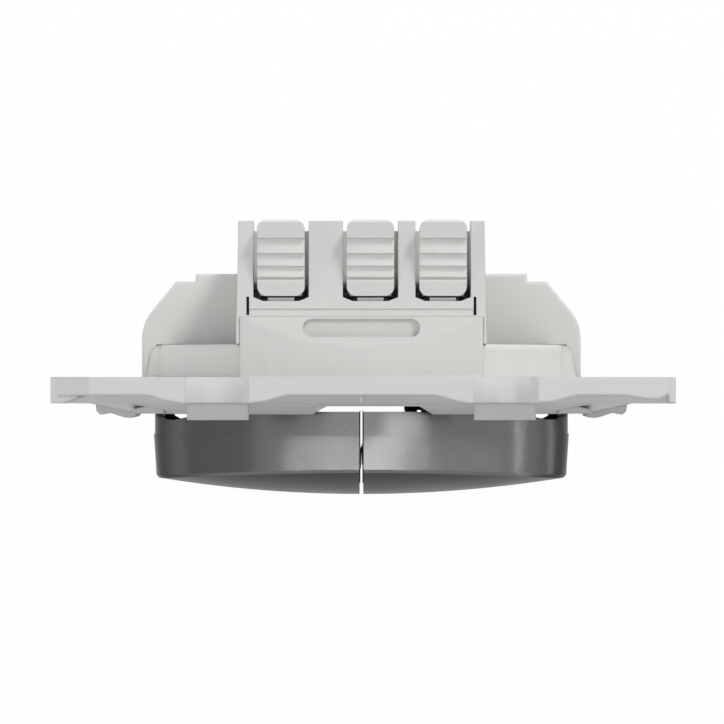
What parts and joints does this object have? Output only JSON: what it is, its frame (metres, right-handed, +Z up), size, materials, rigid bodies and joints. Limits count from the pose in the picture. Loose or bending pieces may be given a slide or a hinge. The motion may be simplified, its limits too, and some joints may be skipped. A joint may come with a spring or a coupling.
{
  "type": "double push button switch",
  "caption": "Flush-mounted double push button switch insert: grey frame, terminal release levers and two half-round dark metal-look buttons.",
  "frame": {"origin": "middle of the support frame's back face, halfway between the two screw slots", "axes": "+X right, +Y back into the wall, +Z up, as installed"},
  "size_m": [0.071, 0.032, 0.071],
  "materials": {
    "grey_plastic": "fine matt moulding, light warm grey",
    "lever_plastic": "fine matt moulding, light warm grey",
    "white_plastic": "matt moulding",
    "black_plastic": "matt moulding, black",
    "dark_metal": "satin anthracite metallic",
    "contact_brass": "plain stamped",
    "silver_alloy": "silver alloy, plain",
    "spring_steel": "plain spring steel"
  },
  "bodies": {
    "switch_body": {"support_frame": "grey_plastic", "rear_housing": "grey_plastic", "contact_base": "white_plastic", "fixed_contacts_left": "silver_alloy", "fixed_contacts_right": "silver_alloy", "return_spring_left": "spring_steel", "return_spring_right": "spring_steel", "terminal_bar_left": "contact_brass", "terminal_bar_middle": "contact_brass", "terminal_bar_right": "contact_brass", "clamp_spring_left": "spring_steel", "clamp_spring_middle": "spring_steel", "clamp_spring_right": "spring_steel"},
    "button_left": {"rocker_cap_left": "dark_metal", "rocker_carrier_left": "black_plastic"},
    "pusher_left": {"plunger_left": "black_plastic", "moving_contact_left": "contact_brass"},
    "button_right": {"rocker_cap_right": "dark_metal", "rocker_carrier_right": "black_plastic"},
    "pusher_right": {"plunger_right": "black_plastic", "moving_contact_right": "contact_brass"},
    "lever_left": {"release_lever_left": "lever_plastic"},
    "lever_middle": {"release_lever_middle": "lever_plastic"},
    "lever_right": {"release_lever_right": "lever_plastic"}
  },
  "joints": [
    {"name": "button_left_press", "type": "hinge", "parent": "switch_body", "child": "button_left", "pos_m": [-0.0125, -0.0029, 0], "axis": [1, 0, 0], "range_deg": [0, 4.5], "stiffness_Nm_per_rad": 0.05},
    {"name": "pusher_left_slide", "type": "slide", "parent": "switch_body", "child": "pusher_left", "axis": [0, 1, 0], "range_m": [0, 0.0011], "deforming": ["return_spring_left"]},
    {"name": "button_right_press", "type": "hinge", "parent": "switch_body", "child": "button_right", "pos_m": [0.0125, -0.0029, 0], "axis": [1, 0, 0], "range_deg": [0, 4.5], "stiffness_Nm_per_rad": 0.05},
    {"name": "pusher_right_slide", "type": "slide", "parent": "switch_body", "child": "pusher_right", "axis": [0, 1, 0], "range_m": [0, 0.0011], "deforming": ["return_spring_right"]},
    {"name": "lever_left_push", "type": "hinge", "parent": "switch_body", "child": "lever_left", "pos_m": [-0.00923, 0.0103, 0.0219], "axis": [1, 0, 0], "range_deg": [-12, 0], "stiffness_Nm_per_rad": 0.02},
    {"name": "lever_middle_push", "type": "hinge", "parent": "switch_body", "child": "lever_middle", "pos_m": [0.00104, 0.0103, 0.0219], "axis": [1, 0, 0], "range_deg": [-12, 0], "stiffness_Nm_per_rad": 0.02},
    {"name": "lever_right_push", "type": "hinge", "parent": "switch_body", "child": "lever_right", "pos_m": [0.00937, 0.0103, 0.0219], "axis": [1, 0, 0], "range_deg": [-12, 0], "stiffness_Nm_per_rad": 0.02}
  ],
  "couplings": [
    {"joint": "pusher_left_slide", "follows": "button_left_press", "m_per_rad": 0.014},
    {"joint": "pusher_right_slide", "follows": "button_right_press", "m_per_rad": 0.014}
  ]
}
